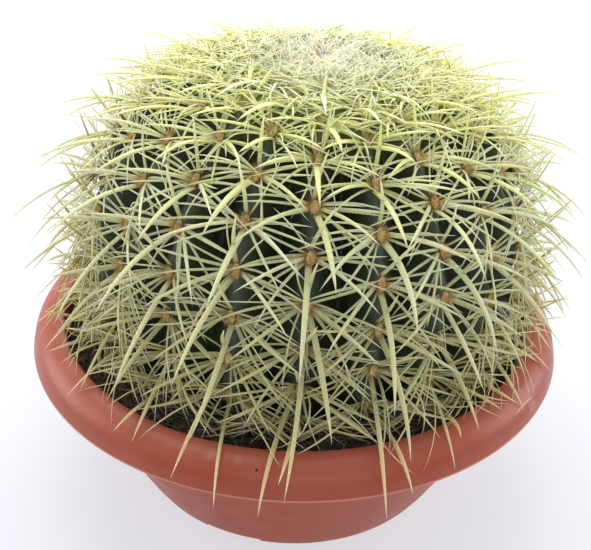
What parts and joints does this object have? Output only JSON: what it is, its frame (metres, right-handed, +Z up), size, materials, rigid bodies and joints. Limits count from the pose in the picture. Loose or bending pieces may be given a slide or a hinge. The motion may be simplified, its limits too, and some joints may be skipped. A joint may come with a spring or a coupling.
{
  "type": "potted round cactus",
  "caption": "Round, ribbed golden barrel cactus with curved straw-yellow spines and a woolly crown, planted in a low, wide plastic bowl with a rolled rim.",
  "frame": {"origin": "middle of the bowl's flat foot, on the surface that it stands on", "axes": "+Z up; -Y is the side that faces the viewer in the picture, and +X is to the viewer's right"},
  "size_m": [0.2402, 0.2433, 0.1968],
  "materials": {
    "bowl_plastic": "satin",
    "soil": "matte",
    "cactus_skin": "satin",
    "crown_wool": "matte"
  },
  "bodies": {
    "root": {"bowl": "bowl_plastic", "soil": "soil", "cactus": "cactus_skin", "crown": "crown_wool"}
  },
  "joints": []
}
